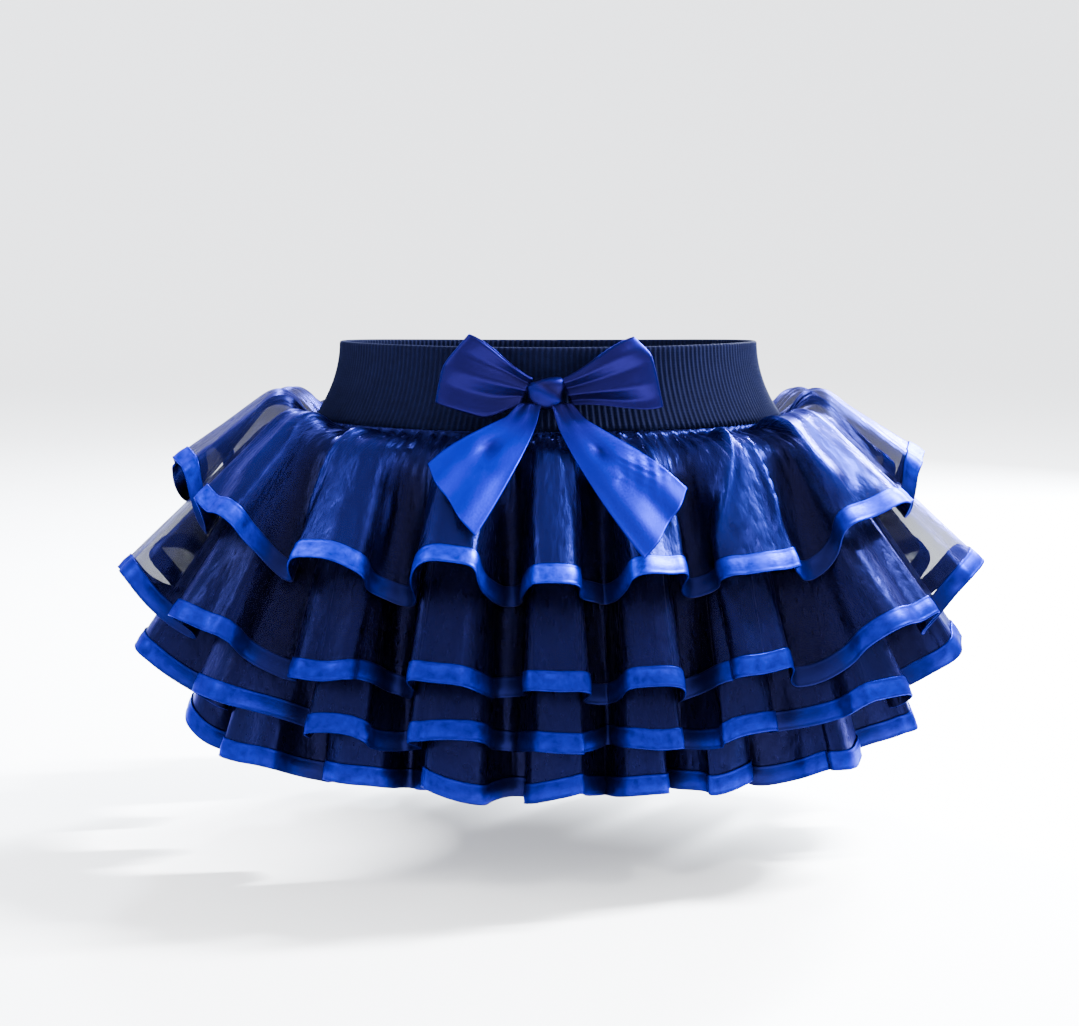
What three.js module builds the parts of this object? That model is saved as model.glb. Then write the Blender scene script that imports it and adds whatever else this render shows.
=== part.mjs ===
// A child's tutu skirt: a rib-knit waistband, four gathered organza tiers with
// ribbon-bound hems, and a satin bow on the front of the band.
// Millimetres, +Z up, front towards -Y, +X to the right of someone facing the front.
// The origin is the centre of the waist, at mid-height of the waistband.
// The skirt is filled out as if worn, and it is hollow from the neck of the band to the hem.

import * as THREE from 'three';

// ---- cloth and seams -------------------------------------------------------

const WALL = 1; // organza and ribbon walls
const SEAM_GAP = 0.3; // between two pieces that are sewn together
const SAMPLE = 0.05; // step for measuring a surface's slope, mm and degrees alike

// ---- waistband: an oval tube that flares from its neck to the seam ----------

const BAND = {
  height: 40,
  wall: 2,
  neckHalfWidth: 108,
  neckHalfDepth: 75,
  seamHalfWidth: 121,
  seamHalfDepth: 83,
  flarePower: 2, // the flare gathers towards the seam
  backDip: 6, // the neck is this much lower at the back
  columns: 60,
  rows: 3,
};
const SEAM_Z = -BAND.height / 2;

// ---- tiers ------------------------------------------------------------------

// Lean is how far the cloth stands away from straight down, in degrees. Under the band the
// cloth leaves the seam at the band's own lean, swells to the puff's, and eases to its final lean.
// Front and back share one value, and the sides have their own.
const TIERS = [
  {
    length: 94,
    puffFront: 80,
    puffSide: 150,
    crestFront: 44,
    crestSide: 54,
    troughFront: 16,
    troughSide: 36,
    gather: 1.2, // how far the small gathers under the seam stand out
    rows: [0, 3, 8, 20, 38], // of the mesh, by distance along the cloth, down to the hem
  },
  {
    length: 135,
    puffFront: 64,
    puffSide: 100,
    crestFront: 28,
    crestSide: 46,
    troughFront: 11,
    troughSide: 29,
    gather: 0,
    rows: [0, 4, 10, 32],
  },
  {
    length: 157,
    puffFront: 50,
    puffSide: 80,
    crestFront: 22,
    crestSide: 34,
    troughFront: 8,
    troughSide: 19,
    gather: 0,
    rows: [0, 5, 32],
  },
  {
    length: 178,
    puffFront: 38,
    puffSide: 60,
    crestFront: 15,
    crestSide: 21,
    troughFront: 4,
    troughSide: 10,
    gather: 0,
    rows: [0, 5, 32],
  },
];
const SIDE_POWER = 4; // how closely the sides' values keep to the sides
const TUCK_LENGTH = 5; // the puff's lean is reached here, measured along the cloth
const PUFF_END = 12; // and holds to here
const EASE_LENGTH = 26; // and eases to the final lean over this much more
const LAYER_PITCH = 1.4; // between the middles of two tiers' walls at the seam
const LAYER_LEAN = 3.5; // a tier leans at least this much more than the one under it
const LAYER_SOFTNESS = 2; // degrees over which one tier takes the shape of the next
const PATH_STEP = 2; // integration step along the cloth
const PUFF_SLACK = 0.22; // how much flatter the puff is in a trough
const GATHER_FADE = 60; // small gathers die out this far down the cloth

// Folds, one row each, round the waist: the azimuth of the crest on each tier, in degrees from
// the front, how far that crest reaches out, and how deep the trough after it hangs in.
const FOLDS = [
  { tier1: -170, tier2: -171, tier3: -169, tier4: -168, reach: 0.95, dip: 1.0 },
  { tier1: -149, tier2: -150, tier3: -151, tier4: -149, reach: 1.04, dip: 1.2 },
  { tier1: -128, tier2: -127, tier3: -125, tier4: -127, reach: 0.98, dip: 0.9 },
  { tier1: -106, tier2: -104, tier3: -104, tier4: -106, reach: 1.02, dip: 1.1 },
  { tier1: -84, tier2: -83, tier3: -82, tier4: -84, reach: 1.0, dip: 1.0 },
  { tier1: -62, tier2: -61, tier3: -59, tier4: -61, reach: 0.98, dip: 1.1 },
  { tier1: -40, tier2: -39, tier3: -37, tier4: -38.5, reach: 0.8, dip: 0.8 },
  { tier1: -15, tier2: -16, tier3: -18, tier4: -19.5, reach: 1.04, dip: 0.9 },
  { tier1: 1, tier2: 1.5, tier3: 3.5, tier4: 5, reach: 0.9, dip: 1.1 },
  { tier1: 17, tier2: 17, tier3: 18, tier4: 18, reach: 0.95, dip: 1.0 },
  { tier1: 39, tier2: 37, tier3: 34, tier4: 33, reach: 0.76, dip: 1.0 },
  { tier1: 65, tier2: 61, tier3: 58, tier4: 57, reach: 1.0, dip: 1.2 },
  { tier1: 87, tier2: 86, tier3: 84, tier4: 84, reach: 1.03, dip: 1.0 },
  { tier1: 108, tier2: 107, tier3: 105, tier4: 106, reach: 0.97, dip: 0.9 },
  { tier1: 129, tier2: 130, tier3: 131, tier4: 129, reach: 1.02, dip: 1.1 },
  { tier1: 150, tier2: 151, tier3: 150, tier4: 152, reach: 0.96, dip: 1.0 },
  { tier1: 170, tier2: 169, tier3: 171, tier4: 171, reach: 1.03, dip: 0.9 },
];
const COMMON_FOLDS = 'tier2'; // the tier whose folds shape what all tiers share
const TROUGH_NARROWING = 1.6; // above 1, crests are broad and troughs narrow
const TUBE_WIDENING = 0.24; // crests widen to tubes, as a share of the fold
const TUBE_STEEPENING = 0.4; // and their flanks steepen, as a share of it
const TUBE_LENGTH = 70; // both grow over this much cloth

// Where the columns of the mesh stand across one fold: 0 and 1 are crests.
const FINE_COLUMNS = [0, 0.12, 0.25, 0.38, 0.5, 0.62, 0.75, 0.88];
const COARSE_COLUMNS = [0, 0.14, 0.31, 0.5, 0.69, 0.86];

const HEM_RIBBON = { width: 10 };

// ---- bow ---------------------------------------------------------------------

const BOW = {
  ribbonWidth: 38,
  centreX: -1,
  centreZ: -2,
  standOff: 6.9, // from the band's face to the middle of the knot
  knotWidth: 18,
  knotHeight: 15,
  knotDepth: 12,
  knotPower: 3, // squareness of the knot
  knotColumns: 14,
  knotRows: 8,
  loopSlant: 9, // degrees that its end leans back from square
  loopPinch: 11, // width of a loop where the knot holds it
  loopFullness: 4.2, // half the depth between its two faces
  loopMouth: 1.1, // half the distance between its two ends in the knot
  loopDrop: 1.6, // from the knot's middle to that of a loop's end
  loopOpening: 0.75, // share of its reach at which a loop is full width
  loopEnd: 0.01, // share of its length that is hidden in the knot, at each end
  loopSteps: 12,
  loopStrips: 3,
  tailStart: { out: 3, z: -10.3 }, // from the seam's oval, under the knot
  tailTouch: 24, // where the tails first touch the ruffle, along its cloth
  tailLift: 2, // from there on, between the middles of the two walls
  tailWave: 2, // how far its two long waves stand out
  tailSteps: 8,
  tailStrips: 4,
  drapeReach: 1.1, // the tails lie just past every crest
};
const LOOPS = [
  { name: 'left', side: -1, length: 38, rise: 14 }, // rise: degrees that a loop points up
  { name: 'right', side: 1, length: 41, rise: 12 },
];
// A tail is a fan of ribbon, placed on the drape by azimuth in degrees and by distance from
// the knot: the two corners at the knot, the corner of its end, and its tip.
const TAILS = [
  { name: 'left', inner: [-1.4, 0], outer: [-6.2, 0], corner: [-23.5, 40], tip: [-11.5, 79] },
  { name: 'right', inner: [0.6, 0], outer: [5, 0], corner: [25, 51], tip: [14.6, 92] },
];
const TAIL_BOW = 3; // degrees that a tail's outer edge bows out

const COLOURS = { knit: 0x141b3c, organza: 0x131c50, ribbon: 0x1f3fae, bow: 0x2247b8 };

// ---- small helpers -------------------------------------------------------------

const radians = THREE.MathUtils.degToRad;
const mix = THREE.MathUtils.lerp;

function smooth(value) {
  const t = THREE.MathUtils.clamp(value, 0, 1);
  return t * t * (3 - 2 * t);
}

function softMax(a, b, softness) {
  return (a + b + Math.hypot(a - b, softness)) / 2;
}

// A closed solid from a surface(a, b): a runs along or round, b across. The wall lies between
// two distances from the surface, measured along its normal.
function wallSolid(surface, aStops, bStops, near, far, closed = false) {
  const positions = [];
  const offsetPoint = (a, b, offset) => {
    const point = surface(a, b);
    const alongA = surface(a + SAMPLE, b).sub(surface(a - SAMPLE, b));
    const alongB = surface(a, b + SAMPLE).sub(surface(a, b - SAMPLE));
    const normal = alongB.cross(alongA).normalize();
    return point.addScaledVector(normal, offset);
  };
  for (const a of aStops) {
    for (const b of bStops) {
      positions.push(...offsetPoint(a, b, far).toArray());
      positions.push(...offsetPoint(a, b, near).toArray());
    }
  }
  const index = [];
  const at = (i, j, side) => ((i % aStops.length) * bStops.length + j) * 2 + side;
  const quad = (a, b, c, d) => index.push(a, b, c, a, c, d);
  const aCount = closed ? aStops.length : aStops.length - 1;
  const last = bStops.length - 1;
  for (let i = 0; i < aCount; i += 1) {
    for (let j = 0; j < last; j += 1) {
      quad(at(i, j, 0), at(i, j + 1, 0), at(i + 1, j + 1, 0), at(i + 1, j, 0));
      quad(at(i, j, 1), at(i + 1, j, 1), at(i + 1, j + 1, 1), at(i, j + 1, 1));
    }
    quad(at(i, 0, 0), at(i + 1, 0, 0), at(i + 1, 0, 1), at(i, 0, 1));
    quad(at(i + 1, last, 0), at(i, last, 0), at(i, last, 1), at(i + 1, last, 1));
  }
  if (!closed) {
    for (let j = 0; j < last; j += 1) {
      quad(at(0, j + 1, 0), at(0, j, 0), at(0, j, 1), at(0, j + 1, 1));
      quad(at(aCount, j, 0), at(aCount, j + 1, 0), at(aCount, j + 1, 1), at(aCount, j, 1));
    }
  }
  const geometry = new THREE.BufferGeometry();
  geometry.setAttribute('position', new THREE.Float32BufferAttribute(positions, 3));
  geometry.setIndex(index);
  geometry.computeVertexNormals();
  return geometry;
}

function stops(from, to, count) {
  return Array.from({ length: count + 1 }, (_, i) => mix(from, to, i / count));
}

function piece(name, geometry, colour, roughness) {
  const material = new THREE.MeshStandardMaterial({ color: colour, roughness, metalness: 0 });
  const mesh = new THREE.Mesh(geometry, material);
  mesh.name = name;
  return mesh;
}

// ---- the oval of the waist ------------------------------------------------------

// The point of an oval and its outward normal, at an azimuth in degrees from the front.
function ovalPoint(halfWidth, halfDepth, azimuth) {
  const angle = radians(azimuth);
  return new THREE.Vector3(halfWidth * Math.sin(angle), -halfDepth * Math.cos(angle), 0);
}

function ovalNormal(halfWidth, halfDepth, azimuth) {
  const angle = radians(azimuth);
  return new THREE.Vector3(halfDepth * Math.sin(angle), -halfWidth * Math.cos(angle), 0).normalize();
}

// 0 in the front and at the back, 1 at the sides.
function sideShare(azimuth) {
  return Math.abs(Math.sin(radians(azimuth))) ** SIDE_POWER;
}

// ---- waistband --------------------------------------------------------------------

// The band's outer face. Depth is 0 at the neck and the band's height at the seam.
function bandFace(azimuth, depth) {
  const share = depth / BAND.height;
  const flare = Math.sign(share) * Math.abs(share) ** BAND.flarePower;
  const halfWidth = mix(BAND.neckHalfWidth, BAND.seamHalfWidth, flare);
  const halfDepth = mix(BAND.neckHalfDepth, BAND.seamHalfDepth, flare);
  const back = (1 - Math.cos(radians(azimuth))) / 2;
  const dip = BAND.backDip * back * back * (1 - share);
  return ovalPoint(halfWidth, halfDepth, azimuth).setZ(BAND.height / 2 - dip - mix(0, BAND.height, share));
}

function waistband() {
  const round = stops(0, 360, BAND.columns).slice(0, -1);
  const down = stops(0, BAND.height, BAND.rows);
  const geometry = wallSolid(bandFace, round, down, -BAND.wall, 0, true);
  return piece('waistband', geometry, COLOURS.knit, 0.9);
}

// ---- folds ---------------------------------------------------------------------------

// Where an azimuth falls among a tier's folds: the fold before it, the one after, and the share
// of the way between their crests.
function locate(column, azimuth) {
  const turn = 360;
  const first = FOLDS[0][column];
  const wrapped = first + THREE.MathUtils.euclideanModulo(azimuth - first, turn);
  let index = FOLDS.length - 1;
  while (FOLDS[index][column] > wrapped) index -= 1;
  const after = FOLDS[(index + 1) % FOLDS.length];
  const start = FOLDS[index][column];
  const end = after[column] + (index + 1 === FOLDS.length ? turn : 0);
  const width = end - start;
  return { before: FOLDS[index], after, start, width, share: (wrapped - start) / width };
}

// 1 on a crest, 0 in a trough.
function crestShare(share) {
  return 1 - ((1 - Math.cos(2 * Math.PI * share)) / 2) ** TROUGH_NARROWING;
}

// A tier's final lean at an azimuth, before the tiers under it push it out.
function freeLean(tier, azimuth) {
  const row = TIERS[tier];
  const fold = locate(`tier${tier + 1}`, azimuth);
  const side = sideShare(azimuth);
  const reach = mix(fold.before.reach, fold.after.reach, smooth(fold.share));
  const crest = mix(row.crestFront, row.crestSide, side) * reach;
  const trough = mix(row.troughFront, row.troughSide, side) * fold.before.dip;
  return mix(trough, crest, crestShare(fold.share));
}

function finalLean(tier, azimuth) {
  const own = freeLean(tier, azimuth);
  if (tier === TIERS.length - 1) return own;
  return softMax(own, finalLean(tier + 1, azimuth) + LAYER_LEAN, LAYER_SOFTNESS);
}

function puffLean(tier, azimuth) {
  const row = TIERS[tier];
  const common = locate(COMMON_FOLDS, azimuth);
  const slack = 1 - PUFF_SLACK * (1 - crestShare(common.share));
  return mix(row.puffFront, row.puffSide, sideShare(azimuth)) * slack;
}

// The band's lean at the seam, which is that of the cloth sewn to it.
function seamLean(azimuth) {
  const sideways = Math.sin(radians(azimuth)) ** 2;
  const spreadInFront = BAND.seamHalfDepth - BAND.neckHalfDepth;
  const spreadAtSide = BAND.seamHalfWidth - BAND.neckHalfWidth;
  const spread = mix(spreadInFront, spreadAtSide, sideways);
  return THREE.MathUtils.radToDeg(Math.atan((BAND.flarePower * spread) / BAND.height));
}

function leanAt(tuck, puff, final, distance) {
  const swollen = mix(tuck, puff, smooth(distance / TUCK_LENGTH));
  return mix(swollen, final, smooth((distance - PUFF_END) / EASE_LENGTH));
}

// How far out and down the cloth has come, at a distance along it.
function fall(tuck, puff, final, distance) {
  const steps = Math.max(1, Math.ceil(Math.abs(distance) / PATH_STEP));
  const step = distance / steps;
  let out = 0;
  let down = 0;
  for (let i = 0; i < steps; i += 1) {
    const lean = radians(leanAt(tuck, puff, final, (i + 0.5) * step));
    out += Math.sin(lean) * step;
    down += Math.cos(lean) * step;
  }
  return { out, down };
}

// Crests widen and their flanks steepen as the cloth falls, by a turn that all tiers share.
function tubeTurn(azimuth, distance) {
  const fold = locate(COMMON_FOLDS, azimuth);
  const phase = 2 * Math.PI * fold.share;
  const shift = TUBE_WIDENING * Math.sin(phase) + TUBE_STEEPENING * Math.sin(2 * phase);
  return (fold.width * shift * smooth(distance / TUBE_LENGTH)) / (2 * Math.PI);
}

// Small gathers under the seam, two to a fold.
function gatherOut(tier, azimuth, distance) {
  const fold = locate(COMMON_FOLDS, azimuth);
  const swell = Math.sin(Math.PI * THREE.MathUtils.clamp(distance / GATHER_FADE, 0, 1));
  return TIERS[tier].gather * swell * Math.cos(4 * Math.PI * fold.share);
}

// The middle of a hanging cloth's wall. Its top lies against the band's lower rim, and each
// layer's top lies further in along the rim than the last one's.
function hang(layer, azimuth, distance, puff, final, extraOut = 0) {
  const tuck = seamLean(azimuth);
  const rim = radians(tuck);
  const inward = WALL / 2 + SEAM_GAP + layer * LAYER_PITCH;
  const { out, down } = fall(tuck, puff, final, distance);
  const across = out + SEAM_GAP * Math.sin(rim) - inward * Math.cos(rim) + extraOut;
  const below = down + SEAM_GAP * Math.cos(rim) + inward * Math.sin(rim);
  const turned = azimuth + tubeTurn(azimuth, distance);
  const start = ovalPoint(BAND.seamHalfWidth, BAND.seamHalfDepth, turned);
  const normal = ovalNormal(BAND.seamHalfWidth, BAND.seamHalfDepth, turned);
  return start.addScaledVector(normal, across).setZ(SEAM_Z - below);
}

function tierSurface(tier) {
  return (azimuth, distance) => {
    const puff = puffLean(tier, azimuth);
    const final = finalLean(tier, azimuth);
    return hang(tier, azimuth, distance, puff, final, gatherOut(tier, azimuth, distance));
  };
}

function tierColumns(tier) {
  const column = `tier${tier + 1}`;
  const shares = tier === 0 ? FINE_COLUMNS : COARSE_COLUMNS;
  return FOLDS.flatMap((row) => {
    const fold = locate(column, row[column]);
    return shares.map((share) => fold.start + share * fold.width);
  });
}

function ruffle(tier) {
  const hem = TIERS[tier].length;
  const rows = [...TIERS[tier].rows, hem - HEM_RIBBON.width, hem];
  const geometry = wallSolid(tierSurface(tier), tierColumns(tier), rows, -WALL / 2, WALL / 2, true);
  return piece(`tier_${tier + 1}`, geometry, COLOURS.organza, 0.45);
}

function hemRibbon(tier) {
  const hem = TIERS[tier].length;
  const near = WALL / 2 + SEAM_GAP;
  const rows = [hem - HEM_RIBBON.width, hem];
  const geometry = wallSolid(tierSurface(tier), tierColumns(tier), rows, near, near + WALL, true);
  return piece(`hem_ribbon_${tier + 1}`, geometry, COLOURS.ribbon, 0.3);
}

// ---- bow --------------------------------------------------------------------------------

const bowFaceY = () => bandFace(0, BAND.height / 2 - BOW.centreZ).y;
const bowCentre = () => new THREE.Vector3(BOW.centreX, bowFaceY() - BOW.standOff, BOW.centreZ);

// The knot is a pillow: a sphere squared off towards a box.
function bowKnot() {
  const geometry = new THREE.SphereGeometry(1, BOW.knotColumns, BOW.knotRows);
  geometry.deleteAttribute('uv');
  const halves = new THREE.Vector3(BOW.knotWidth, BOW.knotDepth, BOW.knotHeight).divideScalar(2);
  const power = BOW.knotPower;
  const position = geometry.getAttribute('position');
  const point = new THREE.Vector3();
  for (let i = 0; i < position.count; i += 1) {
    point.fromBufferAttribute(position, i);
    const powers = [point.x, point.y, point.z].map((value) => Math.abs(value) ** power);
    const norm = (powers[0] + powers[1] + powers[2]) ** (1 / power);
    point.divideScalar(norm);
    point.multiply(halves);
    position.setXYZ(i, point.x, point.y, point.z);
  }
  geometry.computeVertexNormals();
  const mesh = piece('bow_knot', geometry, COLOURS.bow, 0.3);
  mesh.position.copy(bowCentre());
  return mesh;
}

// A loop is one length of ribbon that leaves the knot in front, turns over at its end and comes
// back behind. Share runs along it from 0 to 1, across runs over its width from -0.5 to 0.5.
function loopSurface(loop) {
  const rise = radians(loop.rise);
  const slant = radians(loop.rise + BOW.loopSlant);
  return (share, across) => {
    const outward = Math.sin(Math.PI * share);
    const width = mix(BOW.loopPinch, BOW.ribbonWidth, smooth(outward / BOW.loopOpening));
    const reach = BOW.knotWidth / 2 + SEAM_GAP + loop.length * outward;
    const turn = Math.PI * share;
    const depth = BOW.loopMouth * Math.cos(turn) + BOW.loopFullness * Math.sin(2 * turn);
    const x = reach * Math.cos(rise) - across * width * Math.sin(slant);
    const z = reach * Math.sin(rise) + across * width * Math.cos(slant);
    return new THREE.Vector3(loop.side * x, -depth, z - BOW.loopDrop).add(bowCentre());
  };
}

function bowLoop(loop) {
  const along = stops(BOW.loopEnd, 1 - BOW.loopEnd, BOW.loopSteps);
  const over = stops(-0.5, 0.5, BOW.loopStrips);
  const geometry = wallSolid(loopSurface(loop), along, over, -WALL / 2, WALL / 2);
  return piece(`bow_loop_${loop.name}`, geometry, COLOURS.bow, 0.3);
}

// What the bow's tails hang on: from the knot they bridge to the ruffle's crests, and lie on them.
function drape(azimuth, distance) {
  const row = TIERS[0];
  const side = sideShare(azimuth);
  const tuck = seamLean(azimuth);
  const puff = mix(row.puffFront, row.puffSide, side);
  const final = mix(row.crestFront, row.crestSide, side) * BOW.drapeReach;
  const lying = (along) => {
    const { out, down } = fall(tuck, puff, final, along);
    const lean = radians(leanAt(tuck, puff, final, along));
    const lift = new THREE.Vector2(Math.cos(lean), Math.sin(lean)).multiplyScalar(BOW.tailLift);
    return new THREE.Vector2(out, SEAM_Z - down).add(lift);
  };
  const knot = new THREE.Vector2(BOW.tailStart.out, BOW.tailStart.z);
  const touch = lying(BOW.tailTouch);
  const bridge = knot.distanceTo(touch);
  const bridged = distance < bridge;
  const at = bridged ? knot.lerp(touch, distance / bridge) : lying(BOW.tailTouch + distance - bridge);
  const start = ovalPoint(BAND.seamHalfWidth, BAND.seamHalfDepth, azimuth);
  const normal = ovalNormal(BAND.seamHalfWidth, BAND.seamHalfDepth, azimuth);
  return start.addScaledVector(normal, at.x).setZ(at.y);
}

function tailSurface(tail) {
  const outside = Math.sign(tail.corner[0]);
  return (across, along) => {
    const bow = TAIL_BOW * outside * across * Math.sin(Math.PI * along);
    const innerAzimuth = mix(tail.inner[0], tail.tip[0], along);
    const outerAzimuth = mix(tail.outer[0], tail.corner[0], along);
    const azimuth = mix(innerAzimuth, outerAzimuth, across);
    const innerDistance = mix(tail.inner[1], tail.tip[1], along);
    const outerDistance = mix(tail.outer[1], tail.corner[1], along);
    const distance = mix(innerDistance, outerDistance, across);
    const wave = BOW.tailWave * (1 - Math.cos(4 * Math.PI * across)) * along / 2;
    const normal = ovalNormal(BAND.seamHalfWidth, BAND.seamHalfDepth, azimuth + bow);
    return drape(azimuth + bow, distance).addScaledVector(normal, wave);
  };
}

function bowTail(tail) {
  const over = stops(0, 1, BOW.tailStrips);
  const down = stops(0, 1, BOW.tailSteps);
  const geometry = wallSolid(tailSurface(tail), over, down, -WALL / 2, WALL / 2);
  return piece(`bow_tail_${tail.name}`, geometry, COLOURS.bow, 0.3);
}

// ---- the skirt -----------------------------------------------------------------------------

const skirt = new THREE.Group();
skirt.name = 'tutu_skirt';
skirt.add(waistband());
TIERS.forEach((_, tier) => skirt.add(ruffle(tier), hemRibbon(tier)));
LOOPS.forEach((loop) => skirt.add(bowLoop(loop)));
skirt.add(bowKnot());
TAILS.forEach((tail) => skirt.add(bowTail(tail)));

export default skirt;
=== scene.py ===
"""A child's tutu skirt: rib-knit waistband, four gathered organza tiers with ribbon hems, and a satin bow.

Laid out as an add-on. Each piece has its own operator, and main() calls them in order.
The cloth's points are worked out in millimetres and degrees, and go to Blender in metres.
"""

import math
from collections import namedtuple
from types import SimpleNamespace as Values

import bpy
import numpy as np
from bpy.props import FloatProperty, FloatVectorProperty, IntProperty, PointerProperty
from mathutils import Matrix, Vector


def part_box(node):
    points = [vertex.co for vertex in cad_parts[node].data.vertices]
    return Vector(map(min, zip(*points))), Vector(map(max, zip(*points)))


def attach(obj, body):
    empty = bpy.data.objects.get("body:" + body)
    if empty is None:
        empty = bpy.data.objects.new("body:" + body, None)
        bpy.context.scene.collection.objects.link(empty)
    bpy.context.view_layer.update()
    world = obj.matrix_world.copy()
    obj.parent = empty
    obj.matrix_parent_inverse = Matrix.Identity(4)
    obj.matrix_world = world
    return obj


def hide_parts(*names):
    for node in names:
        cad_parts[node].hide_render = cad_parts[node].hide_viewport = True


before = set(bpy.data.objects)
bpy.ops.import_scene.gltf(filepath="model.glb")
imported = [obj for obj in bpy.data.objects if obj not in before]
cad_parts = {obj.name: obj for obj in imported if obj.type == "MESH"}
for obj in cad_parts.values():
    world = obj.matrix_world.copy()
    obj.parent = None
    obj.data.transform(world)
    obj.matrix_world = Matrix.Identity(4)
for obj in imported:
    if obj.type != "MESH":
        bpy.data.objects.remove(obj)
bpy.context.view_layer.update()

bl_info = {
    "name": "Tutu Skirt",
    "version": (1, 0, 0),
    "blender": (4, 5, 0),
    "location": "View3D > Sidebar > Tutu Skirt",
    "description": "Builds a tiered tutu skirt with a ribbed waistband, ribbon hems and a satin bow",
    "category": "Object",
}

MM = 0.001
# Painted light and shade: a share per vertex that takes each cloth's colour down to a painted shade colour,
# such as the organza's.
PAINTED_LIGHT_ATTRIBUTE = "painted_fold_light"
ORGANZA_PAINTED_SHADE = (0.0029, 0.0024, 0.0105)

# A satin has a painted shade colour for the valleys of its folds, scales of its weave and its
# mottling, in cells to a metre across and along, and a share by which the mottling varies its colour.
Satin = namedtuple("Satin", "name shade weave mottle_scale mottle")
HEM_SATIN = Satin("hem_satin", (0.0038, 0.004, 0.028), (500, 2400), (190, 300), 0.42)
BOW_SATIN = Satin("bow_satin_weave", (0.0052, 0.0036, 0.027), (1200, 1200), (90, 30), 0.15)

# ---- the cut, in millimetres and degrees ----

SEAM_GAP = 0.3
WALL = 1.0  # of the solids, whose middle the cloth follows
BAND = Values(
    height=40.0,
    wall=2.0,
    neck=(108.0, 75.0),
    seam=(121.0, 83.0),
    flare_power=2.0,
    back_dip=6.0,
    neck_fold=1.2,  # height of the round fold at the neck
    seam_swell=0.9,  # how much more its ribs stand out at the seam
    swell_height=2.5,
    cloth_round=2 * math.pi * 100,  # of the knit, as its coordinates have it
)
SEAM_Z = -BAND.height / 2

# Lean is how far the cloth stands away from straight down, in front and at the sides.
Tier = namedtuple("Tier", "length puff_front puff_side crest_front crest_side trough_front trough_side")
TIERS = (
    Tier(94, 80, 150, 44, 54, 16, 36),
    Tier(135, 64, 100, 28, 46, 11, 29),
    Tier(157, 50, 80, 22, 34, 8, 19),
    Tier(178, 38, 60, 15, 21, 4, 10),
)
SIDE_POWER = 4
TUCK_LENGTH = 5
PUFF_END = 12
EASE_LENGTH = 26
LAYER_PITCH = 1.4
LAYER_LEAN = 3.5
LAYER_SOFTNESS = 2
PUFF_SLACK = 0.22
FALL_STEP = 0.5

# One row for each fold round the waist: its crest's azimuth on each tier, its reach, and how
# deep the trough after it hangs in.
Fold = namedtuple("Fold", "tier_1 tier_2 tier_3 tier_4 reach dip")
FOLDS = (
    Fold(-170, -171, -169, -168, 0.95, 1.0),
    Fold(-149, -150, -151, -149, 1.04, 1.2),
    Fold(-128, -127, -125, -127, 0.98, 0.9),
    Fold(-106, -104, -104, -106, 1.02, 1.1),
    Fold(-84, -83, -82, -84, 1.0, 1.0),
    Fold(-62, -61, -59, -61, 0.98, 1.1),
    Fold(-40, -39, -37, -38.5, 0.8, 0.8),
    Fold(-15, -16, -18, -19.5, 1.04, 0.9),
    Fold(1, 1.5, 3.5, 5, 0.9, 1.1),
    Fold(17, 17, 18, 18, 0.95, 1.0),
    Fold(39, 37, 34, 33, 0.76, 1.0),
    Fold(65, 61, 58, 57, 1.0, 1.2),
    Fold(87, 86, 84, 84, 1.03, 1.0),
    Fold(108, 107, 105, 106, 0.97, 0.9),
    Fold(129, 130, 131, 129, 1.02, 1.1),
    Fold(150, 151, 150, 152, 0.96, 1.0),
    Fold(170, 169, 171, 171, 1.03, 0.9),
)
# How much light is painted on each tier, as if past those above, and on its hem, as shares.
TIER_PAINTED_LIGHT = (0.57, 0.19, 0.17, 0.19)
HEM_PAINTED_LIGHT = (1.0, 0.36, 0.34, 0.32)
# Painted light is most on the crests of the folds.
CREST_NARROWING = 0.9  # of the lit crests of a tier
HEM_NARROWING = 1.5
# Painted shade in the valleys and the tuck under the seam, and a painted shadow under the tier above.
SEAM_PAINTED_SHADE = Values(valley=0.75, reach=45, dark=0.5, fade=7)
OVERHANG = Values(reach=0.9, light=0.45, fade=40)  # its reach is a share of the tier above
# A painted highlight along each crease, over the painted light beside it.
CREASE_PAINTED_LIGHT = 0.75  # more than the cloth beside it gets, along a crease
CREASE_LINE = 0.55  # how wide that line of light is, as a share of the crease
FULL_CREASE = 6  # the height of a crease that gets all of that light
COMMON_TIER = 1  # its folds shape what all tiers share
TROUGH_NARROWING = 1.6
TUBE_WIDENING = 0.24
TUBE_STEEPENING = 0.4
TUBE_LENGTH = 70

# Uneven waves round the waist: a seed, and how many of each wave go round.
Waves = namedtuple("Waves", "seed harmonics")
GATHERS = Waves(11, (83, 97, 113, 131))
SMALL_GATHERS = Waves(12, (151, 173, 199))
FLUTTER = Waves(21, (47, 59, 71, 86))
LONG_WAVES = Waves(31, (37, 43, 53))
HEM_WAVES = Waves(41, (7, 11, 16, 23, 29))
WAVE_PEAK = 1.4  # makes up for waves that don't peak together
GATHER_START = 5
GATHER_FADE = 16
LOWER_GATHERS = Values(height=0.2, place=30, spread=20)
FLUTTER_START = 0.45  # as a share of the tier's length
LONG_WAVE_HEIGHT = 0.8
LONG_WAVE_START = 40

CREASE_SHARPNESS = 1.5
CREASE_RADIUS = 130
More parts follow.
